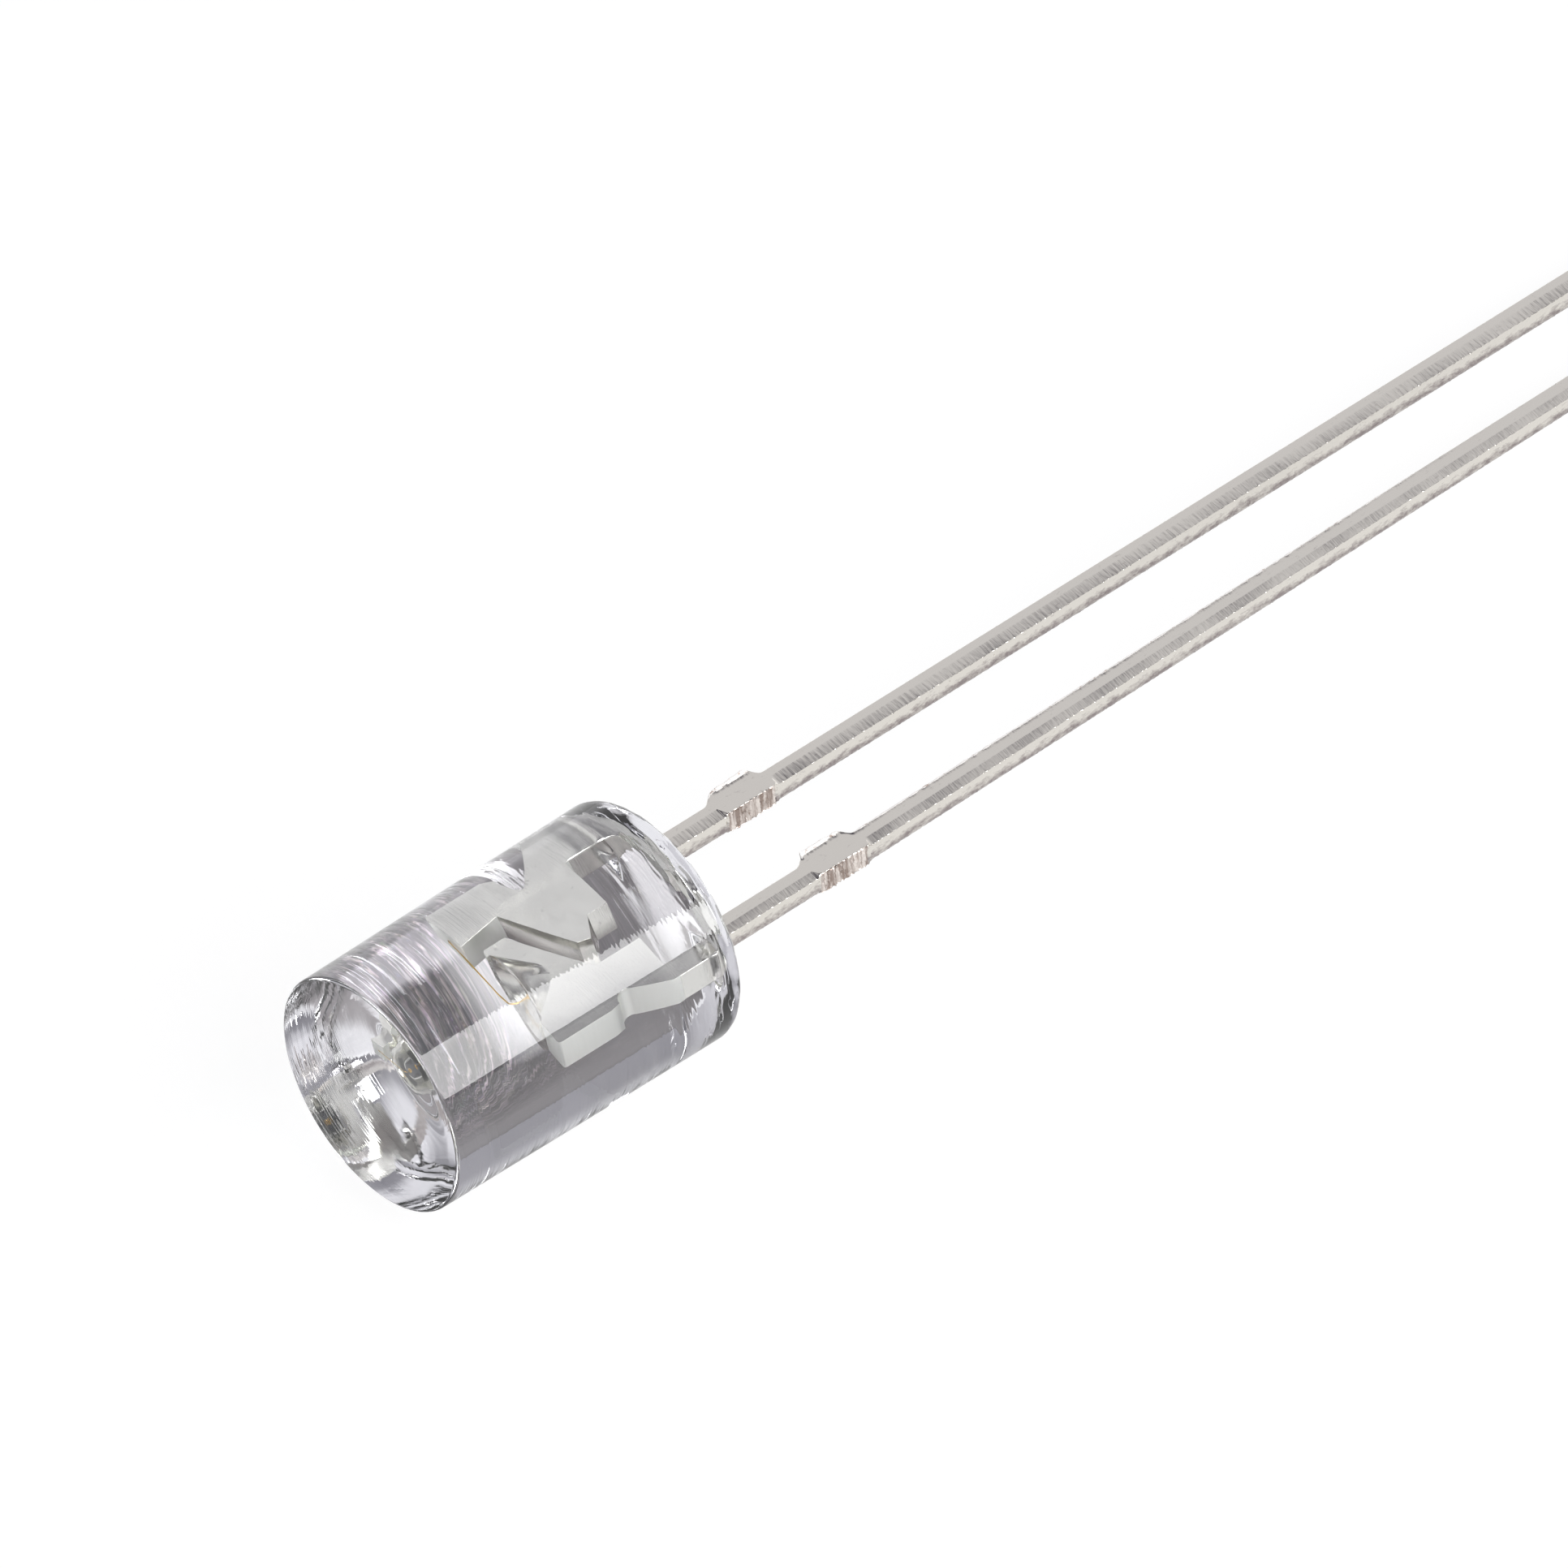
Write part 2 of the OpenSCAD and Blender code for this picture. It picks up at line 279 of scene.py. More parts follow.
# how the wall changes with height, each as (for most rays, for what looks through the epoxy): its part low down, the
# heights between which that comes to 1, and the heights, counted downwards, between which it comes in from above
WALL_FADES = ((1.7, 0.2), (0.12, 0.25), (0.32, 0.66), (-0.92, -0.96), (-0.75, -0.84))
# a darker ring high up and the ceiling's paler patch inside it: the heights where each comes in, and its light
CEILING = ((0.86, 0.91, -0.10), (0.95, 0.985, 0.50))


def add(tree, kind, sockets=None, **choices):
    """Adds one node: choices are its own settings, and sockets gives an input's value or what links to it."""
    made = tree.nodes.new(kind)
    for name, value in choices.items():
        setattr(made, name, value)
    for name, value in (sockets or {}).items():
        if isinstance(value, bpy.types.NodeSocket):
            tree.links.new(value, made.inputs[name])
        else:
            made.inputs[name].default_value = value
    return made


def new_material(name):
    """An empty node material and its node tree."""
    material = bpy.data.materials.new(name)
    material.use_nodes = True
    material.node_tree.nodes.clear()
    return material, material.node_tree


def own_coordinates(tree):
    """The point's place in the part's own frame, in millimetres."""
    turn = Matrix(AXES.T.tolist())
    shift = -(AXES.T @ ORIGIN) / MM
    place = add(tree, "ShaderNodeTexCoord")
    return add(tree, "ShaderNodeMapping", {"Vector": place.outputs["Object"], "Location": Vector(shift),
                                          "Rotation": turn.to_euler(), "Scale": Vector([1 / MM] * 3)}).outputs[0]


def clear_epoxy():
    """Water-clear epoxy as cast in a polished mould: it has no grain of its own, and its rings and waves are in
    the mesh. Light bends in it as in typical casting epoxy, and comes out with a faint blue cast."""
    body, _, _ = settings()
    material, tree = new_material("Clear cast epoxy")
    shader = add(tree, "ShaderNodeBsdfPrincipled",
                 {"Base Color": body.clear, "Roughness": 0.0, "IOR": 1.53, "Transmission Weight": 1.0})
    add(tree, "ShaderNodeOutputMaterial", {"Surface": shader.outputs[0]})
    return material


def plated_steel():
    """Rolled steel strip, silver-plated where the epoxy holds it and tin-dipped outside: a bright metal, cooler inside,
    warmer and glossier outside, with lines across the strip, soft clouds, a slow waviness that bends what it mirrors,
    and painted shade in darker, greyer specks round the lower edges of the leads outside the body."""
    _, metal, _ = settings()
    material, tree = new_material("Silver and tin plated steel")
    place = own_coordinates(tree)
    split = add(tree, "ShaderNodeSeparateXYZ", {0: place})
    outside = add(tree, "ShaderNodeMapRange", {"Value": split.outputs["Y"], "From Min": -0.3, "From Max": 0.1})
    tint = add(tree, "ShaderNodeMix", {"Factor": outside.outputs[0], "A": metal.silver, "B": metal.tin},
               data_type="RGBA")
    # painted shade darkens the tin in specks of 0.1 to 0.25 mm low on the leads
    scaled = add(tree, "ShaderNodeVectorMath", {0: place, 1: (9, 4, 9)}, operation="MULTIPLY")
    specks = add(tree, "ShaderNodeTexNoise", {"Vector": scaled.outputs[0], "Scale": 1.0, "Detail": 3.0,
                                             "Roughness": 0.7})
    below = add(tree, "ShaderNodeMapRange", {"Value": split.outputs["Z"], "From Min": -0.12, "From Max": 0.08,
                                            "To Min": 0.42, "To Max": 0.0})
    # where the painted shade falls: low on the sheet, outside the body, in specks
    shade_painted = add(tree, "ShaderNodeMath", {0: below.outputs[0], 1: outside.outputs[0]}, operation="MULTIPLY")
    shade_painted = add(tree, "ShaderNodeMath", {0: specks.outputs[0], 1: shade_painted.outputs[0]}, operation="ADD")
    painted_darkening = add(tree, "ShaderNodeMapRange", {"Value": shade_painted.outputs[0], "From Min": 0.62, "To Max": 0.85})
    shade = add(tree, "ShaderNodeMix", {"Factor": painted_darkening.outputs[0], "A": tint.outputs[2], "B": metal.shade_painted},
                data_type="RGBA")
    # clouds 0.2 mm wide in the plating
    cloud = add(tree, "ShaderNodeTexNoise", {"Vector": place, "Scale": 5.0, "Detail": 4.0, "Roughness": 0.6})
    rough = add(tree, "ShaderNodeMapRange", {"Value": cloud.outputs[0], "From Min": 0.3, "From Max": 0.7,
                                            "To Min": 0.12, "To Max": 0.25})
    glossier = add(tree, "ShaderNodeMapRange", {"Value": outside.outputs[0], "To Min": 1.0, "To Max": 0.55})
    rough = add(tree, "ShaderNodeMath", {0: rough.outputs[0], 1: glossier.outputs[0]}, operation="MULTIPLY")
    # roll marks 0.035 mm apart across the strip, which is coarser than real ones, so that they show
    scaled = add(tree, "ShaderNodeVectorMath", {0: place, 1: (3, 28, 3)}, operation="MULTIPLY")
    lines = add(tree, "ShaderNodeTexNoise", {"Vector": scaled.outputs[0], "Scale": 1.0})
    both = add(tree, "ShaderNodeMath", {0: lines.outputs[0], 1: cloud.outputs[0]}, operation="ADD")
    # waves 1 to 2 mm long
    scaled = add(tree, "ShaderNodeVectorMath", {0: place, 1: (0.9, 0.5, 0.9)}, operation="MULTIPLY")
    waves = add(tree, "ShaderNodeTexNoise", {"Vector": scaled.outputs[0], "Scale": 1.0, "Detail": 1.0})
    flow = add(tree, "ShaderNodeBump", {"Height": waves.outputs[0], "Strength": 1.0, "Distance": 0.06 * MM})
    grain = add(tree, "ShaderNodeBump", {"Height": both.outputs[0], "Strength": 0.5, "Distance": 0.0032 * MM,
                                         "Normal": flow.outputs[0]})
    shader = add(tree, "ShaderNodeBsdfPrincipled", {"Base Color": shade.outputs[2], "Metallic": 1.0,
                                                    "Roughness": rough.outputs[0], "Normal": grain.outputs[0]})
    add(tree, "ShaderNodeOutputMaterial", {"Surface": shader.outputs[0]})
    return material


def sheared_steel():
    """Bare steel where the tie bar was sheared off: torn grooves square to the sheet, browner in their depths."""
    _, metal, _ = settings()
    material, tree = new_material("Sheared steel")
    # tears 0.08 mm apart
    scaled = add(tree, "ShaderNodeVectorMath", {0: own_coordinates(tree), 1: (0.5, 12, 1.2)}, operation="MULTIPLY")
    tears = add(tree, "ShaderNodeTexNoise", {"Vector": scaled.outputs[0], "Scale": 1.0, "Detail": 3.0,
                                            "Roughness": 0.6})
    raised = add(tree, "ShaderNodeMapRange", {"Value": tears.outputs[0], "From Min": 0.42, "From Max": 0.60})
    shade = add(tree, "ShaderNodeMix", {"Factor": raised.outputs[0], "A": linear("#978880"), "B": metal.sheared},
                data_type="RGBA")
    grain = add(tree, "ShaderNodeBump", {"Height": tears.outputs[0], "Strength": 0.6, "Distance": 0.02 * MM})
    shader = add(tree, "ShaderNodeBsdfPrincipled", {"Base Color": shade.outputs[2], "Metallic": 1.0,
                                                    "Roughness": 0.38, "Normal": grain.outputs[0]})
    add(tree, "ShaderNodeOutputMaterial", {"Surface": shader.outputs[0]})
    return material


def blanked_edge():
    """The blanked edge of the silver-plated sheet: matt silver with faint upright burnish, paler than the polished
    face because it scatters the light that falls on it."""
    _, metal, _ = settings()
    material, tree = new_material("Matt silver plated edge")
    # burnish lines 0.08 mm apart that run through the sheet's thickness
    scaled = add(tree, "ShaderNodeVectorMath", {0: own_coordinates(tree), 1: (12, 12, 2)}, operation="MULTIPLY")
    burnish = add(tree, "ShaderNodeTexNoise", {"Vector": scaled.outputs[0], "Scale": 1.0, "Detail": 3.0})
    rough = add(tree, "ShaderNodeMapRange", {"Value": burnish.outputs[0], "From Min": 0.3, "From Max": 0.7,
                                            "To Min": 0.35, "To Max": 0.55})
    grain = add(tree, "ShaderNodeBump", {"Height": burnish.outputs[0], "Strength": 0.5, "Distance": 0.008 * MM})
    shader = add(tree, "ShaderNodeBsdfPrincipled", {"Base Color": metal.blanked, "Metallic": 0.88,
                                                    "Roughness": rough.outputs[0], "Normal": grain.outputs[0]})
    add(tree, "ShaderNodeOutputMaterial", {"Surface": shader.outputs[0]})
    return material


def rolled_burr():
    """Tin smeared over the burr that the shear rolled up: paler and duller than the plate, so it catches more
    light, and brownish in its pits."""
    material, tree = new_material("Rolled tin burr")
    # lumps 0.07 to 0.1 mm wide
    scaled = add(tree, "ShaderNodeVectorMath", {0: own_coordinates(tree), 1: (14, 10, 14)}, operation="MULTIPLY")
    lumps = add(tree, "ShaderNodeTexNoise", {"Vector": scaled.outputs[0], "Scale": 1.0, "Detail": 3.0})
    raised = add(tree, "ShaderNodeMapRange", {"Value": lumps.outputs[0], "From Min": 0.30, "From Max": 0.43})
    shade = add(tree, "ShaderNodeMix", {"Factor": raised.outputs[0], "A": linear("#B9A79C"), "B": linear("#F8F5F1")},
                data_type="RGBA")
    grain = add(tree, "ShaderNodeBump", {"Height": lumps.outputs[0], "Strength": 0.5, "Distance": 0.02 * MM})
    shader = add(tree, "ShaderNodeBsdfPrincipled", {"Base Color": shade.outputs[2], "Metallic": 0.7,
                                                    "Roughness": 0.55, "Normal": grain.outputs[0]})
    add(tree, "ShaderNodeOutputMaterial", {"Surface": shader.outputs[0]})
    return material


def drawn_gold():
    """Drawn gold wire: warm, bright and smooth, with faint die lines along it that spread its highlight."""
    _, metal, _ = settings()
    material, tree = new_material("Drawn gold wire")
    scaled = add(tree, "ShaderNodeVectorMath", {0: own_coordinates(tree), 1: (4, 60, 60)}, operation="MULTIPLY")
    lines = add(tree, "ShaderNodeTexNoise", {"Vector": scaled.outputs[0], "Scale": 1.0})
    rough = add(tree, "ShaderNodeMapRange", {"Value": lines.outputs[0], "From Min": 0.3, "From Max": 0.7,
                                            "To Min": 0.16, "To Max": 0.30})
    shader = add(tree, "ShaderNodeBsdfPrincipled", {"Base Color": metal.gold, "Metallic": 1.0,
                                                    "Roughness": rough.outputs[0]})
    add(tree, "ShaderNodeOutputMaterial", {"Surface": shader.outputs[0]})
    return material


def sawn_crystal():
    """Sawn semiconductor crystal: dark grey glassy sides with saw lines, and the round gold contact on top."""
    _, metal, _ = settings()
    material, tree = new_material("Sawn crystal with gold contact")
    place = own_coordinates(tree)
    split = add(tree, "ShaderNodeSeparateXYZ", {0: place})
    flat = add(tree, "ShaderNodeCombineXYZ", {"X": split.outputs["X"], "Z": split.outputs["Z"]})
    out = add(tree, "ShaderNodeVectorMath", {0: flat.outputs[0]}, operation="LENGTH")
    top = add(tree, "ShaderNodeMath", {0: split.outputs["Y"], 1: -CHIP_TOP_H + 0.0075}, operation="LESS_THAN")
    near = add(tree, "ShaderNodeMath", {0: out.outputs["Value"], 1: PAD_R + 0.004}, operation="LESS_THAN")
    pad = add(tree, "ShaderNodeMath", {0: top.outputs[0], 1: near.outputs[0]}, operation="MULTIPLY")
    # saw lines 0.008 mm apart up the sides
    scaled = add(tree, "ShaderNodeVectorMath", {0: place, 1: (6, 120, 6)}, operation="MULTIPLY")
    saw = add(tree, "ShaderNodeTexNoise", {"Vector": scaled.outputs[0], "Scale": 1.0})
    bright = add(tree, "ShaderNodeMapRange", {"Value": saw.outputs[0], "From Min": 0.3, "From Max": 0.7})
    crystal = add(tree, "ShaderNodeMix", {"Factor": bright.outputs[0], "A": linear("#4A4C50"), "B": linear("#6A6C70")},
                  data_type="RGBA")
    shade = add(tree, "ShaderNodeMix", {"Factor": pad.outputs[0], "A": crystal.outputs[2], "B": metal.gold},
                data_type="RGBA")
    shader = add(tree, "ShaderNodeBsdfPrincipled", {"Base Color": shade.outputs[2], "Metallic": pad.outputs[0],
                                                    "Roughness": 0.22})
    add(tree, "ShaderNodeOutputMaterial", {"Surface": shader.outputs[0]})
    return material


def silver_adhesive():
    """Cured silver-filled adhesive: pale grey paste with bright flakes."""
    material, tree = new_material("Silver-filled adhesive")
    # flakes 0.017 mm wide, about twice the real ones, so that they show
    flakes = add(tree, "ShaderNodeTexNoise", {"Vector": own_coordinates(tree), "Scale": 60.0})
    bright = add(tree, "ShaderNodeMapRange", {"Value": flakes.outputs[0], "From Min": 0.5, "From Max": 0.62})
    shade = add(tree, "ShaderNodeMix", {"Factor": bright.outputs[0], "A": linear("#B4B4B0"), "B": linear("#E4E4E2")},
                data_type="RGBA")
    grain = add(tree, "ShaderNodeBump", {"Height": flakes.outputs[0], "Strength": 0.4, "Distance": 0.003 * MM})
    shader = add(tree, "ShaderNodeBsdfPrincipled", {"Base Color": shade.outputs[2], "Metallic": bright.outputs[0],
                                                    "Roughness": 0.5, "Normal": grain.outputs[0]})
    add(tree, "ShaderNodeOutputMaterial", {"Surface": shader.outputs[0]})
    return material


def floor_paper():
    """White paper. The camera sees it as plain white with a faint shadow, and the metal sees it pale with a painted
    shade of the body on it. What looks through the epoxy sees pale paper well away from the part and, close by, a
    painted shadow of the body with painted light that the body lets through: a pale band, a bright spot and fine
    streaks of faintly split colour."""
    material, tree = new_material("White paper floor")
    path = add(tree, "ShaderNodeLightPath")
    place = own_coordinates(tree)
    split = add(tree, "ShaderNodeSeparateXYZ", {0: place})
    across = add(tree, "ShaderNodeMapRange", {"Value": split.outputs["X"], "From Min": -RAMP_REACH,
                                             "From Max": RAMP_REACH})
    band = add(tree, "ShaderNodeValToRGB", {0: across.outputs[0]})
    while len(band.color_ramp.elements) < len(RAMP):
        band.color_ramp.elements.new(0.5)
    for stop, (place_x, tint, streaked) in zip(band.color_ramp.elements, RAMP):
        stop.position, stop.color = (place_x + RAMP_REACH) / (2 * RAMP_REACH), (*tint, streaked)
    # towards the leads the painted light band closes into painted shade
    closing = add(tree, "ShaderNodeMapRange", {"Value": split.outputs["Y"], "From Min": -3.2, "From Max": -2.2})
    outer = add(tree, "ShaderNodeMapRange", {"Value": split.outputs["X"], "From Min": -1.5, "From Max": -1.35,
                                            "To Min": 1.0, "To Max": 0.0})
    closed = add(tree, "ShaderNodeMath", {0: closing.outputs[0], 1: outer.outputs[0]}, operation="MULTIPLY")
    shade = add(tree, "ShaderNodeMix", {"Factor": closed.outputs[0], "A": band.outputs[0], "B": (*PAINTED_SHADE, 1)},
                data_type="RGBA")
    # painted streaks of light and shade 0.03 mm wide, of slightly different colours, in groups 0.14 mm wide, fading out
    # towards the leads
    scaled = add(tree, "ShaderNodeVectorMath", {0: place, 1: (1.5, 32, 1.5)}, operation="MULTIPLY")
    streaks = add(tree, "ShaderNodeTexNoise", {"Vector": scaled.outputs[0], "Scale": 1.0, "Detail": 3.0,
                                              "Roughness": 0.62})
    tinted = add(tree, "ShaderNodeMix", {"Factor": 0.10, "A": streaks.outputs["Fac"], "B": streaks.outputs["Color"]},
                 data_type="RGBA")
    # a vector's limits have the numbers 7 to 10 here: from least, from most, to least, to most
    level = add(tree, "ShaderNodeMapRange", {"Vector": tinted.outputs[2], 7: (0.47,) * 3, 8: (0.72,) * 3,
                                            9: (0.12,) * 3, 10: (3.2,) * 3}, data_type="FLOAT_VECTOR")
    scaled = add(tree, "ShaderNodeVectorMath", {0: place, 1: (0.8, 7, 0.8)}, operation="MULTIPLY")
    groups = add(tree, "ShaderNodeTexNoise", {"Vector": scaled.outputs[0], "Scale": 1.0})
    deep = add(tree, "ShaderNodeMapRange", {"Value": groups.outputs[0], "From Min": 0.38, "From Max": 0.62,
                                           "To Min": 0.3, "To Max": 1.75})
    level = add(tree, "ShaderNodeMix", {"Factor": 1.0, "A": level.outputs[1], "B": deep.outputs[0]},
                data_type="RGBA", blend_type="MULTIPLY")
    fading = add(tree, "ShaderNodeMapRange", {"Value": split.outputs["Y"], "From Min": -4.0, "From Max": 0.5,
                                             "To Min": 1.0, "To Max": 0.15})
    fading = add(tree, "ShaderNodeMath", {0: fading.outputs[0], 1: band.outputs["Alpha"]}, operation="MULTIPLY")
    streaked = add(tree, "ShaderNodeMix", {"Factor": fading.outputs[0], "A": (1, 1, 1, 1), "B": level.outputs[2]},
                   data_type="RGBA")
    lit = add(tree, "ShaderNodeMix", {"Factor": 1.0, "A": shade.outputs[2], "B": streaked.outputs[2]},
              data_type="RGBA", blend_type="MULTIPLY")
    # the painted shade starts under the nose
    beside = add(tree, "ShaderNodeMapRange", {"Value": split.outputs["Y"], "From Min": -9.0, "From Max": -6.5})
    near = add(tree, "ShaderNodeMix", {"Factor": beside.outputs[0], "A": (*PAPER, 1), "B": lit.outputs[2]},
               data_type="RGBA")
    # the painted bright spot of light
    apart = add(tree, "ShaderNodeVectorMath", {0: place, 1: PAINTED_SPOT_PLACE}, operation="DISTANCE")
    spot = add(tree, "ShaderNodeMapRange", {"Value": apart.outputs["Value"], "From Min": PAINTED_SPOT_BRIGHT_R,
                                           "From Max": PAINTED_SPOT_DARK_R, "To Min": PAINTED_SPOT_LIGHT, "To Max": 0.0})
    near = add(tree, "ShaderNodeMix", {"Factor": 1.0, "A": near.outputs[2], "B": spot.outputs[0]},
               data_type="RGBA", blend_type="ADD")
    # 20 to 60 mm away, and not on the -X side, the epoxy shows plain paper
    away = add(tree, "ShaderNodeMapRange", {"Value": apart.outputs["Value"], "From Min": 20, "From Max": 60})
    side = add(tree, "ShaderNodeMapRange", {"Value": split.outputs["X"], "From Min": -12, "From Max": 4})
    plain = add(tree, "ShaderNodeMath", {0: away.outputs[0], 1: side.outputs[0]}, operation="MULTIPLY")
    seen_through = add(tree, "ShaderNodeMix", {"Factor": plain.outputs[0], "A": near.outputs[2], "B": DISTANT_PAPER},
                       data_type="RGBA")
    # for the metal, the paper under and beside the body carries a painted shade of the body, and is pale again beyond
    # the base
    beyond = add(tree, "ShaderNodeMath", {0: split.outputs["X"]}, operation="ABSOLUTE")
    under = add(tree, "ShaderNodeMapRange", {"Value": beyond.outputs[0], "From Min": 2.2, "From Max": 6.0,
                                            "To Min": 0.45, "To Max": 0.84})
    leads = add(tree, "ShaderNodeMapRange", {"Value": split.outputs["Y"], "From Min": -0.5, "From Max": 1.5})
    metal_painted_shade = add(tree, "ShaderNodeMix", {"Factor": leads.outputs[0], "A": under.outputs[0], "B": 0.92})
    through = add(tree, "ShaderNodeMix", {"Factor": path.outputs["Is Transmission Ray"], "A": metal_painted_shade.outputs[0],
                                          "B": seen_through.outputs[2]}, data_type="RGBA")
    seen = add(tree, "ShaderNodeMix", {"Factor": path.outputs["Is Camera Ray"], "A": through.outputs[2],
                                       "B": SEEN_PAPER}, data_type="RGBA")
    light = add(tree, "ShaderNodeEmission", {"Color": seen.outputs[2], "Strength": 1.0})
    # the small part that the lamps light, which is what the shadow takes away
    paper = add(tree, "ShaderNodeBsdfDiffuse", {"Color": (0.12, 0.12, 0.12, 1)})
    both = add(tree, "ShaderNodeAddShader", {0: paper.outputs[0], 1: light.outputs[0]})
    add(tree, "ShaderNodeOutputMaterial", {"Surface": both.outputs[0]})
    return material


def room_world():
    """The room's light by direction: a pale wall at the back left, a dim glow in front, a darker ring high up and
    a paler ceiling. The camera itself sees plain white."""
    world = bpy.data.worlds.new("studio")
    world.use_nodes = True
    tree = world.node_tree
    tree.nodes.clear()
    path = add(tree, "ShaderNodeLightPath")
    toward = add(tree, "ShaderNodeTexCoord").outputs["Generated"]
    low, low_start, low_end, high_start, high_end = (
        add(tree, "ShaderNodeMapRange", {"Value": path.outputs["Is Transmission Ray"], "To Min": most_rays,
                                         "To Max": seen_through}).outputs[0] for most_rays, seen_through in WALL_FADES)
    wall = None
    for side, start, end, least in ((WALL_SIDE, 0.0, 0.5, 0.0), ((0, 0, -1), high_start, high_end, 0.0),
                                    ((0, 0, 1), low_start, low_end, low)):
        facing = add(tree, "ShaderNodeVectorMath", {0: toward, 1: side}, operation="DOT_PRODUCT")
        part = add(tree, "ShaderNodeMapRange", {"Value": facing.outputs["Value"], "From Min": start, "From Max": end,
                                               "To Min": least}, interpolation_type="SMOOTHSTEP").outputs[0]
        wall = part if wall is None else add(tree, "ShaderNodeMath", {0: wall, 1: part},
                                             operation="MULTIPLY").outputs[0]
    front = add(tree, "ShaderNodeVectorMath", {0: toward, 1: FRONT_SIDE}, operation="DOT_PRODUCT")
    glow = add(tree, "ShaderNodeMapRange", {"Value": front.outputs["Value"], "From Min": 0.3, "From Max": 0.95,
                                           "To Max": FRONT_LIGHT}, interpolation_type="SMOOTHSTEP")
    level = add(tree, "ShaderNodeMath", {0: wall, 1: WALL_LIGHT, 2: glow.outputs[0]}, operation="MULTIPLY_ADD")
    height = add(tree, "ShaderNodeSeparateXYZ", {0: toward}).outputs["Z"]
    for start, end, strength in CEILING:
        part = add(tree, "ShaderNodeMapRange", {"Value": height, "From Min": start, "From Max": end,
                                               "To Max": strength}, interpolation_type="SMOOTHSTEP")
        level = add(tree, "ShaderNodeMath", {0: level.outputs[0], 1: part.outputs[0]}, operation="ADD")
    lit = add(tree, "ShaderNodeMix", {"Factor": 1.0, "A": ROOM_TINT, "B": level.outputs[0]}, data_type="RGBA",
              blend_type="ADD")
    seen = add(tree, "ShaderNodeMix", {"Factor": path.outputs["Is Camera Ray"], "A": lit.outputs[2],
                                       "B": (1, 1, 1, 1)}, data_type="RGBA")
    room = add(tree, "ShaderNodeBackground", {"Color": seen.outputs[2], "Strength": 1.0})
    add(tree, "ShaderNodeOutputWorld", {"Surface": room.outputs[0]})
    return world


# ---------------------------------------------------------------- pieces


# the power that shapes the draft of the mould's side, and the side on which its cutter chattered most
DRAFT_POWER = 1.1
CHATTER_SIDE = math.radians(195)
# how far from its rim the poured base falls off, and how far from a lead
RIM_REACH, LEAD_REACH = 0.35, 0.14


def poured_base(x, z, body):
    """The free surface of the poured epoxy: Y = climb * (sum over both leads of exp(-d / LEAD_REACH)) less
    sag * (1 - exp(-e / RIM_REACH)), where d is the distance from the lead's outline and e that from the rim."""
    inner = BODY_R - body.base_r / MM
    level = -body.sag / MM * (1 - np.exp(-(inner - np.hypot(x, z)) / RIM_REACH))
    for lead_x in (ANODE_X, -ANODE_X):
        apart = np.hypot(np.maximum(np.abs(x - lead_x) - LEAD_W / 2, 0), np.maximum(np.abs(z) - SHEET_T / 2, 0))
        level = level + body.climb / MM * np.exp(-apart / LEAD_REACH)
    return level


def body_grid(body):
    """The body's skin as rings from the base to the nose, a profile carried round its axis: the poured base, the
    rounding to the side, the side r = R - (R - nose) (h / length)^DRAFT_POWER, the rim's rounding, and the hollow
    h = length - depth (1 - (r / mouth)^2)^ease. The base is then waved, and the side gets the mould's rings."""
    nose_r, rim_r, base_r = body.nose_r / MM, body.rim_r / MM, body.base_r / MM
    dish_r, depth = body.dish_r / MM, body.dish_depth / MM
    around, base_rows, edge_rows, side_rows = 160, 56, 10, 420
    hollow = dish_r * np.linspace(1, 0, 60)[:-1]
    height = np.linspace(base_r, BODY_LEN - rim_r, side_rows)
    side = BODY_R - (BODY_R - nose_r) * (height / BODY_LEN) ** DRAFT_POWER
    profile = np.vstack([
        np.column_stack([np.linspace(0.02, BODY_R - base_r, base_rows), np.zeros(base_rows)]),
        arc((BODY_R - base_r, base_r), base_r, -90, 0, edge_rows + 2)[1:-1],
        np.column_stack([side, height]),
        arc((nose_r - rim_r, BODY_LEN - rim_r), rim_r, 0, 90, 10)[1:],
        np.column_stack([hollow, BODY_LEN - depth * (1 - (hollow / dish_r) ** 2) ** body.dish_ease]),
    ])
    grid = turned_grid(profile, around)
    first = base_rows + edge_rows
    grid[:base_rows, :, 1] = poured_base(grid[:base_rows, :, 0], grid[:base_rows, :, 2], body)
    # slow waves, which grow towards the base's edge, on rows and points about 0.06 and 0.1 mm apart
    wavy = marks((first, around), (0.06, 0.1), 0.25, 0.9, 0.5, 5)
    grid[:first, :, 1] += body.wave_height / MM * wavy * np.linspace(0.4, 1, first)[:, None] ** 4
    # fine rings on top of broader ones, highest where the cutter chattered
    step = ((BODY_LEN - rim_r - base_r) / side_rows, 2 * math.pi * BODY_R / around)
    fine = marks((side_rows, around), step, 0.07, 0.13, 1.2, 3)
    broad = marks((side_rows, around), step, 0.2, 0.7, 3, 4)
    angle = 2 * math.pi * np.arange(around) / around
    rings = (fine + broad * 1.5) * rise(0.0, 0.8, np.cos(angle - CHATTER_SIDE), 0.15, 0.9)
    grid[first:first + side_rows, :, ::2] *= 1 + body.ring_height / MM * rings[..., None] / BODY_R
    return grid


class LED_OT_body(bpy.types.Operator):
    """Cast the epoxy body as one clear skin round the leadframe"""

    bl_idname = "led.body"
    bl_label = "Epoxy body"

    def execute(self, context):
        body, _, _ = settings()
        piece = new_piece("epoxy_body", *skin(body_grid(body)))
        piece.data.materials.append(clear_epoxy())
        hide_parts("lens_body")
        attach(piece, "root")
        return {"FINISHED"}


# Y below which a lead's flat pattern is a plain strip, and the cup's outer radius
SHOULDER_Y, CUP_R = -1.1, 0.62
# rows of a lead's surface, and the rounding of its section's corners inside the epoxy
LEAD_ROWS = 900
HELD_R = 0.02
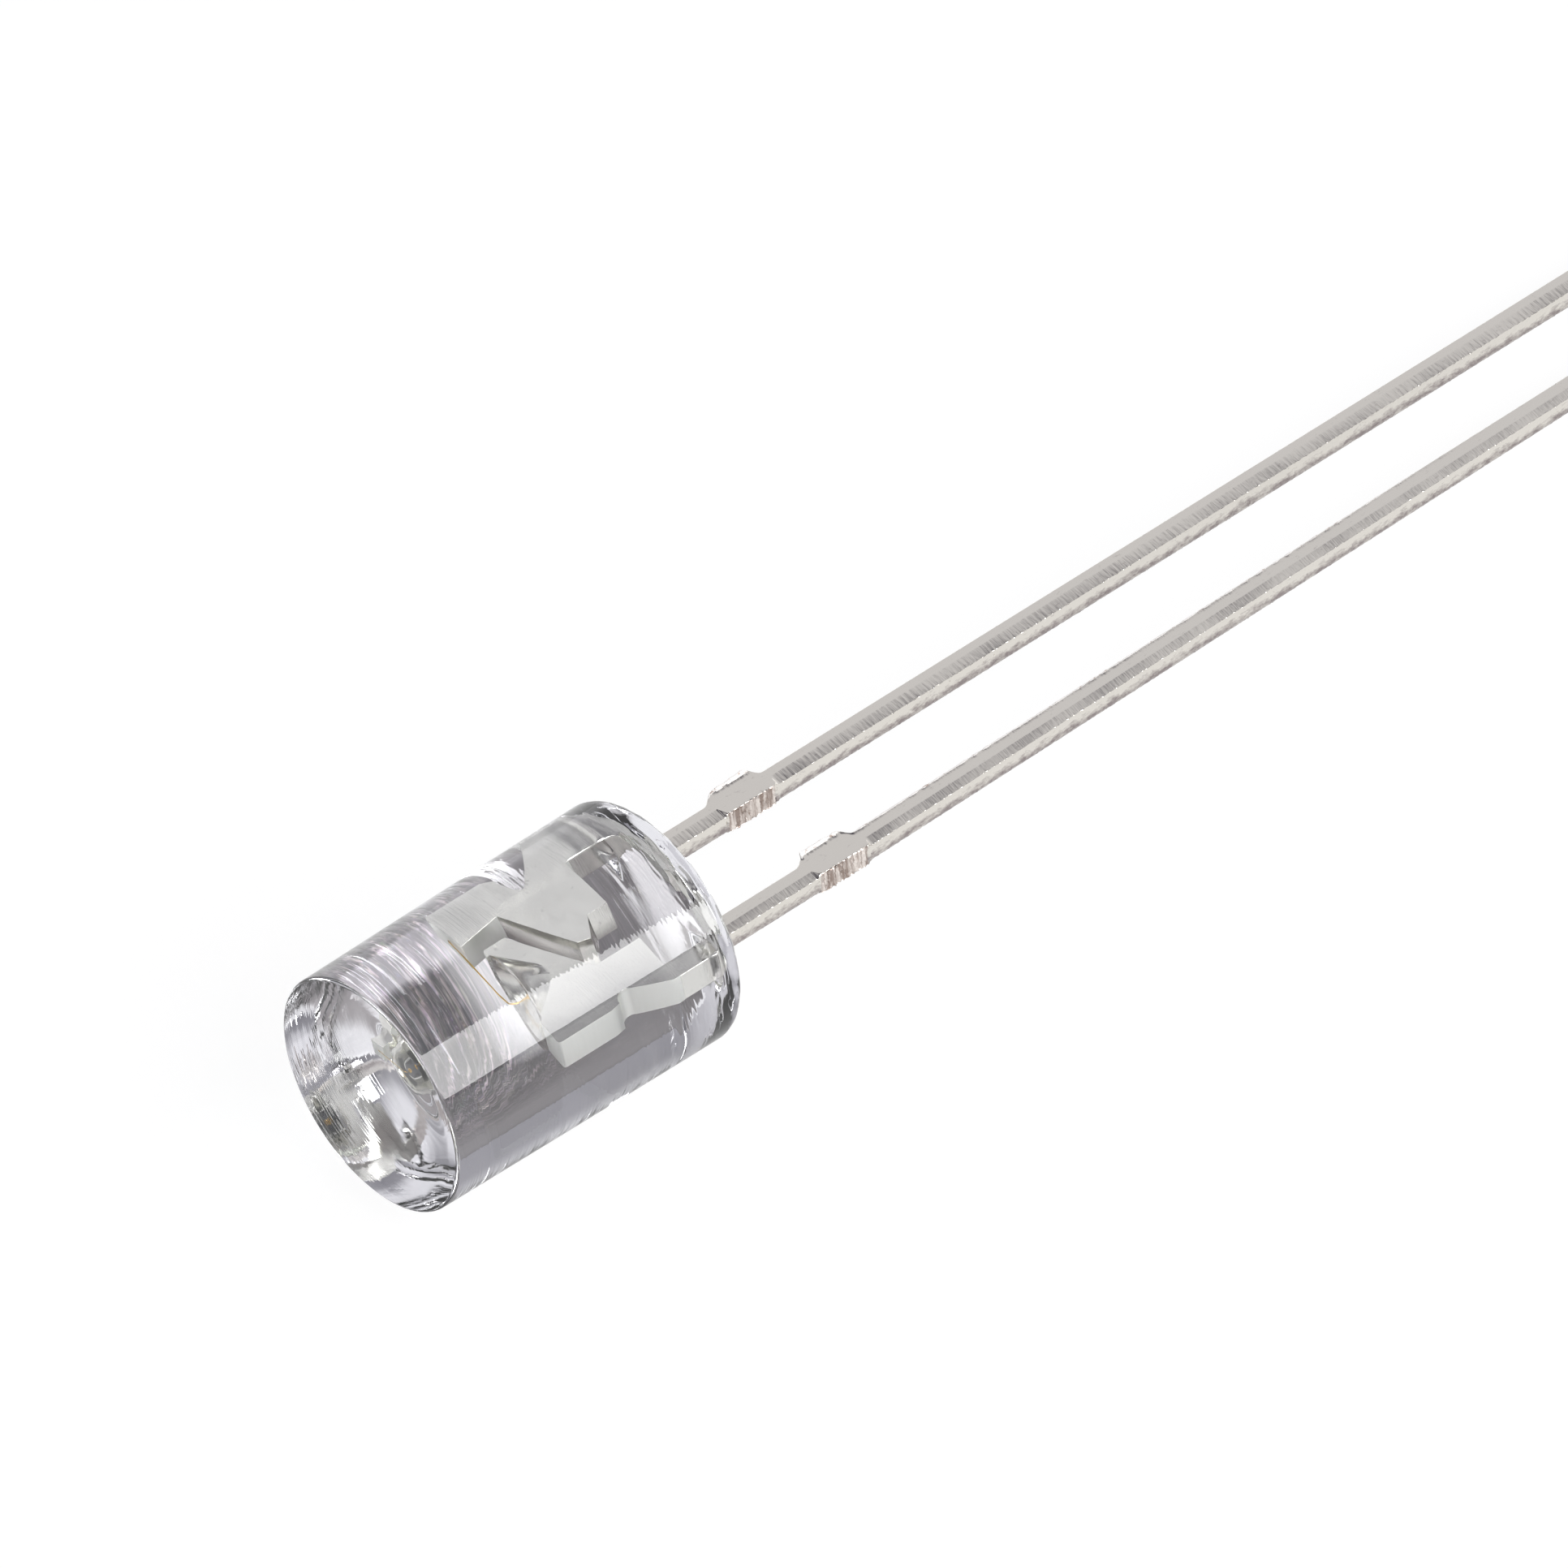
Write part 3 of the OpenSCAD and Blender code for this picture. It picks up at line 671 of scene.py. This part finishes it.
# how far round the lead's edge the burr reaches, and the least height at which it shows its own finish
BURR_REACH, BURR_SHOWS = 0.06, 0.018
# rounding of the plates' edges
PLATE_R = 0.055
# for each lead: name, CAD node, the node's corners in the own frame, the section's corners (how far each is rounded
# across the sheet and down through it, and the power of its ellipse) from the upper +X one round by the upper -X one,
# the burr's height by Y, and the height of the ribs
LEADS = (
    ("anode", "anode_lead", ANODE, ((0.24, 0.062, 1.1), (0.03, 0.03, 2), (0.03, 0.03, 2), (0.05, 0.10, 2)),
     ((2.70, 3.0, 3.70, 3.80, 3.90), (0, 0.05, 0.08, 0.05, 0)), 0.0004),
    ("cathode", "cathode_lead", CATHODE, ((0.17, 0.072, 1.05), (0.035, 0.03, 2), (0.03, 0.03, 2), (0.06, 0.12, 2)),
     ((2.84, 2.88, 3.0, 3.7, 3.9, 4.2, 18.0, 22.0), (0, 0.10, 0.07, 0.06, 0.01, 0.03, 0.024, 0)), 0.00002),
)


def lead_edges(points):
    """The left and right edge of a lead's flat pattern below its shoulder, each as rows of (Y, X)."""
    on_face = np.abs(np.abs(points[:, 2]) - SHEET_T / 2) < 0.01
    flat = points[(points[:, 1] > SHOULDER_Y - 0.005) & (np.abs(points[:, 0]) > 0.5) & on_face]
    flat = flat[np.argsort(flat[:, 1], kind="stable")]
    root, tip = flat[flat[:, 1] < SHOULDER_Y + 0.01], flat[-4:]
    middle = np.interp(flat[:, 1], [SHOULDER_Y, tip[:, 1].mean()], [root[:, 0].mean(), tip[:, 0].mean()])
    return [flat[side][:, 1::-1] for side in (flat[:, 0] < middle, flat[:, 0] > middle)]


def lead_section(half_x, corners, free):
    """A lead's section in every row: each corner is a quarter of an ellipse of its own power, and each side a straight
    line between two corners. free goes from 0, where the section is a plain oblong, to 1, where it has the rounded
    corners of the free lead."""
    half_z = SHEET_T / 2 + 0 * half_x
    turn = np.radians(np.linspace(0, 90, 9))
    parts = []
    for number, (across, down, power) in enumerate(corners):
        a, b = HELD_R + (across - HELD_R) * free, HELD_R + (down - HELD_R) * free
        bend = 1 + (2 / power - 1) * free[:, None]
        sign_x, sign_z = ((1, 1), (-1, 1), (-1, -1), (1, -1))[number]
        angle = turn + number * math.pi / 2
        x = (sign_x * (half_x - a))[:, None] + sign_x * a[:, None] * np.abs(np.cos(angle)) ** bend
        z = (sign_z * (half_z - b))[:, None] + sign_z * b[:, None] * np.abs(np.sin(angle)) ** bend
        parts.append(np.stack([x, z], axis=-1))
    # points crowd towards the upper -X corner, where the burr is
    ring, even = [], np.linspace(0, 1, 20)[1:-1]
    for number, (part, spread) in enumerate(zip(parts, (1 - (1 - even) ** 2, even ** 2, even, even))):
        ring += [part, part[:, -1:] + (parts[(number + 1) % 4][:, :1] - part[:, -1:]) * spread[None, :, None]]
    return np.concatenate(ring, axis=1)


def lead_grid(points, corners, burr, rib_height):
    """A lead as a section carried along its flat pattern, from the tip to the root, and then moved along its own
    normal by the marks that shearing, rolling and tinning leave. Returns the grid and each face's finish, which is
    0 for plated, 1 for sheared and 2 for the rolled burr."""
    left, right = lead_edges(points)
    y = np.linspace(min(left[:, 0].max(), right[:, 0].max()), CUT_Y, LEAD_ROWS)
    soft = np.hanning(7) / np.hanning(7).sum()
    x_low, x_high = (np.convolve(np.pad(np.interp(y, *np.unique(edge, axis=0).T), 3, "edge"), soft, "valid")
                     for edge in (left, right))
    stub = rise(STUB_START - 0.05, STUB_START, y) * rise(STUB_END, STUB_END + 0.1, y, 1, 0)
    free = rise(-0.4, 0.5, y) * (1 - stub)
    half_x, middle = (x_high - x_low) / 2, (x_high + x_low) / 2
    ring = lead_section(half_x, corners, free)
    along = np.roll(ring, -1, axis=1) - np.roll(ring, 1, axis=1)
    out = np.stack([along[..., 1], -along[..., 0]], axis=-1)
    out /= np.linalg.norm(out, axis=-1, keepdims=True) + 1e-9
    shape, step = ring.shape[:2], ((y[0] - y[-1]) / LEAD_ROWS, 0.024)
    outside = rise(-0.1, 0.1, y)[:, None]
    side = np.clip(np.abs(out[..., 0]), 0, 1) ** 6
    top = np.clip(out[..., 1], 0, 1) ** 4
    lower = rise(0.5, 0.95, (out[..., 0] - out[..., 1]) / math.sqrt(2))
    lumps = marks(shape, step, 0.08, 0.35, 0.06, 11)
    ribs = marks(shape, step, 0.075, 0.16, 0.5, 12)
    cuts = marks(shape, step, 0.09, 0.16, 0.3, 13)
    # lumps on the sides, lower ones round the bottom edge and on top, and ribs on all but the sides
    rib = (rib_height * free + 0.0005 * stub)[:, None] * ribs * (1 - side)
    move = outside * (0.004 * side * lumps + 0.0012 * lower * lumps + rib + 0.0004 * top * lumps)
    # the torn face of the cut tie bar
    move += stub[:, None] * np.clip(out[..., 0], 0, 1) * (0.011 * cuts + 0.004 * lumps)
    ring = ring + out * move[..., None]
    edge = np.hypot(ring[..., 0] + half_x[:, None], ring[..., 1] - SHEET_T / 2)
    bead = np.interp(y, *burr) * (1 + 0.1 * marks(shape, step, 0.25, 1.0, 1.0, 14)[:, 0])
    lift = np.exp(-(edge / BURR_REACH) ** 2) * bead[:, None]
    ring = ring + lift[..., None] * np.array([-0.5, 0.85])
    grid = np.stack([ring[..., 0] + middle[:, None], y[:, None] + 0 * ring[..., 0], ring[..., 1]], axis=-1)
    on_stub = (y > STUB_START + 0.02) & (y < STUB_END - 0.02)
    sheared = (out[:-1, :, 0] > 0.75) & on_stub[:-1, None]
    return grid, np.where(sheared, 1, np.where(lift[:-1] > BURR_SHOWS, 2, 0))


def plate(name, node):
    """A lead's stamped plate inside the body: a merged copy of the CAD node, cut off where the lead begins, with
    its faces made whole and its sharp edges rounded as coining leaves them."""
    source = frame["nodes"][node].data.copy()
    mesh = bmesh.new()
    mesh.from_mesh(source)
    bmesh.ops.remove_doubles(mesh, verts=mesh.verts, dist=2e-6)
    bmesh.ops.dissolve_limit(mesh, angle_limit=math.radians(0.6), verts=mesh.verts, edges=mesh.edges)
    bmesh.ops.bisect_plane(mesh, geom=[*mesh.verts, *mesh.edges, *mesh.faces], dist=1e-7,
                           plane_co=to_row((0, CUT_Y, 0)), plane_no=AXES[:, 1], clear_outer=True)
    sharp = [edge for edge in mesh.edges if len(edge.link_faces) == 2 and edge.calc_face_angle() > math.radians(35)]
    bmesh.ops.bevel(mesh, geom=sharp, offset=PLATE_R * MM, segments=3, profile=0.5, affect="EDGES",
                    clamp_overlap=True)
    # where the clamp stops the bevel its rows fall together
    bmesh.ops.dissolve_degenerate(mesh, dist=2e-7, edges=mesh.edges)
    bmesh.ops.holes_fill(mesh, edges=[edge for edge in mesh.edges if len(edge.link_faces) == 1], sides=0)
    bmesh.ops.recalc_face_normals(mesh, faces=mesh.faces)
    made = bpy.data.meshes.new(name)
    mesh.to_mesh(made)
    mesh.free()
    bpy.data.meshes.remove(source)
    made.polygons.foreach_set("use_smooth", [True] * len(made.polygons))
    made.set_sharp_from_angle(angle=math.radians(50))
    piece = bpy.data.objects.new(name, made)
    bpy.context.scene.collection.objects.link(piece)
    flat = piece.modifiers.new("flat faces", "WEIGHTED_NORMAL")
    flat.keep_sharp = True
    return piece


def upright_faces(mesh):
    """1 for each of a plate's faces that stands square to the sheet, and 0 for the others and the cup's."""
    normals, centres = (np.empty(3 * len(mesh.polygons)) for _ in range(2))
    mesh.polygons.foreach_get("normal", normals)
    mesh.polygons.foreach_get("center", centres)
    upright = np.abs(normals.reshape(-1, 3) @ AXES[:, 2]) < 0.3
    centres = to_own(centres.reshape(-1, 3))
    in_cup = np.hypot(centres[:, 0], centres[:, 2]) < CUP_R
    return (upright & ~in_cup).astype(int)


class LED_OT_leads(bpy.types.Operator):
    """Stamp the leadframe plates and draw the leads with their cut tie-bar stubs"""

    bl_idname = "led.leads"
    bl_label = "Leadframe and leads"

    def execute(self, context):
        plated, sheared, burred, blanked = plated_steel(), sheared_steel(), rolled_burr(), blanked_edge()
        for name, node, points, corners, burr, rib_height in LEADS:
            grid, finish = lead_grid(points, corners, burr, rib_height)
            lead = new_piece(name + "_leg", *skin(grid))
            for material in (plated, sheared, burred):
                lead.data.materials.append(material)
            lead.data.set_sharp_from_angle(angle=math.radians(60))
            # the two closing fans come last and are plated
            chosen = np.zeros(len(lead.data.polygons), int)
            chosen[:finish.size] = finish.ravel()
            lead.data.polygons.foreach_set("material_index", chosen)
            flat = plate(name + "_plate", node)
            flat.data.materials.append(plated)
            flat.data.materials.append(blanked)
            flat.data.polygons.foreach_set("material_index", upright_faces(flat.data))
            for piece in (lead, flat):
                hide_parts(node)
                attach(piece, "root")
        return {"FINISHED"}


def wire_path():
    """The bond wire's middle line in the plane of the sheet: up from the ball on the chip, over in a low loop and
    down on to the anode's post, smoothed by a running average over the evenly spaced points of a polyline."""
    end_x = WIRE[:, 0].min() + WIRE_D / 2
    knots = np.array([(0, -CHIP_TOP_H), (0, -CHIP_TOP_H - 0.30), (-0.06, -WIRE_H + 0.03), (-0.25, -WIRE_H),
                      (-0.60, -WIRE_H + 0.004), (-0.90, -WIRE_H + 0.025), (end_x, -POST_H - WIRE_D / 2)])
    run = np.insert(np.cumsum(np.hypot(*np.diff(knots, axis=0).T)), 0, 0)
    even = np.linspace(0, run[-1], 160)
    path = np.column_stack([np.interp(even, run, knots[:, 0]), np.interp(even, run, knots[:, 1])])
    soft = np.hanning(17) / np.hanning(17).sum()
    # both ends are continued by their own reflection, so that they stay where they are
    longer = np.vstack([2 * path[0] - path[8:0:-1], path, 2 * path[-1] - path[-2:-10:-1]])
    return np.column_stack([np.convolve(axis, soft, "valid") for axis in longer.T])


class LED_OT_wire(bpy.types.Operator):
    """Bond the gold wire from the chip to the anode's post"""

    bl_idname = "led.wire"
    bl_label = "Bond wire"

    def execute(self, context):
        path = wire_path()
        along = np.gradient(path, axis=0)
        along /= np.linalg.norm(along, axis=1, keepdims=True)
        out = np.column_stack([-along[:, 1], along[:, 0]])
        turn = 2 * math.pi * np.arange(14) / 14
        reach = np.insert(np.cumsum(np.hypot(*np.diff(path, axis=0).T)), 0, 0)
        # the ball swells to three wire widths on the chip, and the foot is pressed flat on the post
        ball = 1 + 2.0 * np.sqrt(np.clip(1 - ((reach - 0.03) / 0.035) ** 2, 0, 1))
        foot = rise(reach[-1] - 0.09, reach[-1] - 0.02, reach)
        wide, thick = WIRE_D / 2 * ball * (1 + 0.9 * foot), WIRE_D / 2 * ball * (1 - 0.45 * foot)
        flat = path[:, None] + out[:, None] * (thick[:, None] * np.cos(turn))[..., None]
        grid = np.concatenate([flat, (wide[:, None] * np.sin(turn))[..., None]], axis=-1)
        piece = new_piece("gold_wire", *skin(grid))
        piece.data.materials.append(drawn_gold())
        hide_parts("bond_wire")
        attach(piece, "root")
        return {"FINISHED"}


class LED_OT_chip(bpy.types.Operator):
    """Set the chip in its fillet of adhesive on the cup's floor"""

    bl_idname = "led.chip"
    bl_label = "Chip and adhesive"

    def execute(self, context):
        # a superellipse section of power 14 makes the sawn block with its edges broken, and a round pad stands on it
        turn = 2 * math.pi * np.arange(96) / 96
        block = CHIP_W / 2 / (np.abs(np.cos(turn)) ** 14 + np.abs(np.sin(turn)) ** 14) ** (1 / 14)
        pad = np.full(96, PAD_R)
        low, high = CHIP[:, 1].max(), CHIP[:, 1].min()
        # scale, Y and outline of each ring, from the middle of the underside to the middle of the pad
        rows = [(0.02, low, block), (0.96, low, block), (1.0, low - 0.006, block), (1.0, high + 0.012, block),
                (0.985, high + 0.008, block), (0.96, high + 0.006, block), (1.05, high + 0.006, pad),
                (1.0, high + 0.001, pad), (0.96, high, pad), (0.05, high, pad)]
        grid = np.stack([np.stack([scale * radius * np.cos(turn), y + 0 * turn, scale * radius * np.sin(turn)], axis=-1)
                         for scale, y, radius in rows])
        chip = new_piece("chip", *skin(grid))
        chip.data.set_sharp_from_angle(angle=math.radians(40))
        chip.data.materials.append(sawn_crystal())
        # the fillet climbs the chip's side as half a cosine wave and ends in a thin rounded lip
        reach, floor_y = np.linspace(0, 1, 24), GLUE[:, 1].max()
        spread = GLUE_R - reach * (GLUE_R - 0.10)
        wave = (1 - np.cos(math.pi * np.clip(reach * 1.3, 0, 1))) / 2
        lift = floor_y - 0.004 - (floor_y - low + 0.02) * wave
        profile = np.vstack([np.column_stack([np.linspace(0.02, GLUE_R, 8)[:-1], np.full(7, -floor_y)]),
                             np.column_stack([spread, -lift])])
        glue = new_piece("adhesive", *skin(turned_grid(profile, 64)))
        glue.data.materials.append(silver_adhesive())
        for piece, node, slot in ((chip, "led_chip", "chip"), (glue, "chip_glue", "die_attach")):
            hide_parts(node)
            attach(piece, "root")
        return {"FINISHED"}


# half of the floor's width, in metres
FLOOR_HALF = 0.6
# the point the camera looks at, in the own frame
TARGET = (0.54, 2.89, 1.76)
# the softbox stands upright to the right of the body: its bottom corner by the leads, the way its bottom edge runs,
# the way it stands up, its length and height, and its light
SOFTBOX = {"corner": (130, 66, 20), "along": (0, 1, -0.21), "up": (0, 0.21, 1), "size": (150, 150), "radiance": 7.5}


def softbox(name, corner, along, up, size, radiance):
    """A rectangular area lamp, in the own frame and in millimetres: it reaches size[0] back from the corner against
    along and size[1] up from it, and shines against the cross product of along and up."""
    along = np.array(along) / np.linalg.norm(along)
    up = np.array(up) - along * (np.array(up) @ along)
    up /= np.linalg.norm(up)
    centre = np.array(corner) - along * size[0] / 2 + up * size[1] / 2
    lamp = bpy.data.lights.new(name, "AREA")
    lamp.shape = "RECTANGLE"
    lamp.size, lamp.size_y = size[0] * MM, size[1] * MM
    lamp.energy = radiance * math.pi * size[0] * size[1] * MM ** 2
    box = bpy.data.objects.new(name, lamp)
    turn = Matrix((AXES @ np.column_stack([along, up, np.cross(along, up)])).tolist())
    box.matrix_world = Matrix.Translation(Vector(to_row(centre))) @ turn.to_4x4()
    bpy.context.scene.collection.objects.link(box)


class LED_OT_studio(bpy.types.Operator):
    """Set up the floor, the lights, the world and the camera"""

    bl_idname = "led.studio"
    bl_label = "Studio"

    def execute(self, context):
        _, _, studio = settings()
        mesh = bpy.data.meshes.new("floor")
        mesh.from_pydata([(x * FLOOR_HALF, y * FLOOR_HALF, 0) for x, y in ((-1, -1), (1, -1), (1, 1), (-1, 1))],
                         [], [(0, 1, 2, 3)])
        mesh.materials.append(floor_paper())
        floor = bpy.data.objects.new("floor", mesh)
        bpy.context.scene.collection.objects.link(floor)

        bpy.context.scene.world = room_world()
        softbox("softbox_right", **SOFTBOX)

        camera = bpy.data.cameras.new("camera")
        camera.lens, camera.sensor_width = studio.lens, 36
        camera.clip_start, camera.clip_end = 0.01, 10
        holder = bpy.data.objects.new("camera", camera)
        away = Vector((math.sin(studio.azimuth) * math.cos(studio.elevation),
                       -math.cos(studio.azimuth) * math.cos(studio.elevation), math.sin(studio.elevation)))
        holder.location = Vector(to_row(TARGET)) + away * studio.distance
        holder.rotation_mode = "QUATERNION"
        level = (-away).to_track_quat("-Z", "Y")
        holder.rotation_quaternion = level @ Matrix.Rotation(studio.roll, 4, "Z").to_quaternion()
        bpy.context.scene.collection.objects.link(holder)
        bpy.context.scene.camera = holder
        bpy.context.scene.view_settings.view_transform = "Standard"
        return {"FINISHED"}


class LED_PT_panel(bpy.types.Panel):
    """Lists the settings and the builders"""

    bl_idname = "LED_PT_panel"
    bl_label = "Through-hole LED"
    bl_space_type = "VIEW_3D"
    bl_region_type = "UI"
    bl_category = "LED"

    def draw(self, context):
        for name, group in GROUPS.items():
            for value in group.__annotations__:
                self.layout.prop(getattr(context.scene, name), value)
        for kind in OPERATORS:
            self.layout.operator(kind.bl_idname)


OPERATORS = (LED_OT_body, LED_OT_leads, LED_OT_wire, LED_OT_chip, LED_OT_studio)
GROUPS = {"led_body": LedBodySettings, "led_metal": LedMetalSettings, "led_studio": LedStudioSettings}


def register():
    """Registers the classes and gives the scene its settings."""
    for name, group in GROUPS.items():
        bpy.utils.register_class(group)
        setattr(bpy.types.Scene, name, PointerProperty(type=group))
    for kind in (*OPERATORS, LED_PT_panel):
        bpy.utils.register_class(kind)


def unregister():
    """Takes back what register did."""
    for kind in (LED_PT_panel, *reversed(OPERATORS)):
        bpy.utils.unregister_class(kind)
    for name, group in GROUPS.items():
        delattr(bpy.types.Scene, name)
        bpy.utils.unregister_class(group)


def main():
    """Builds every piece and the studio."""
    register()
    bpy.ops.led.body()
    bpy.ops.led.leads()
    bpy.ops.led.wire()
    bpy.ops.led.chip()
    bpy.ops.led.studio()


if __name__ == "__main__":
    main()
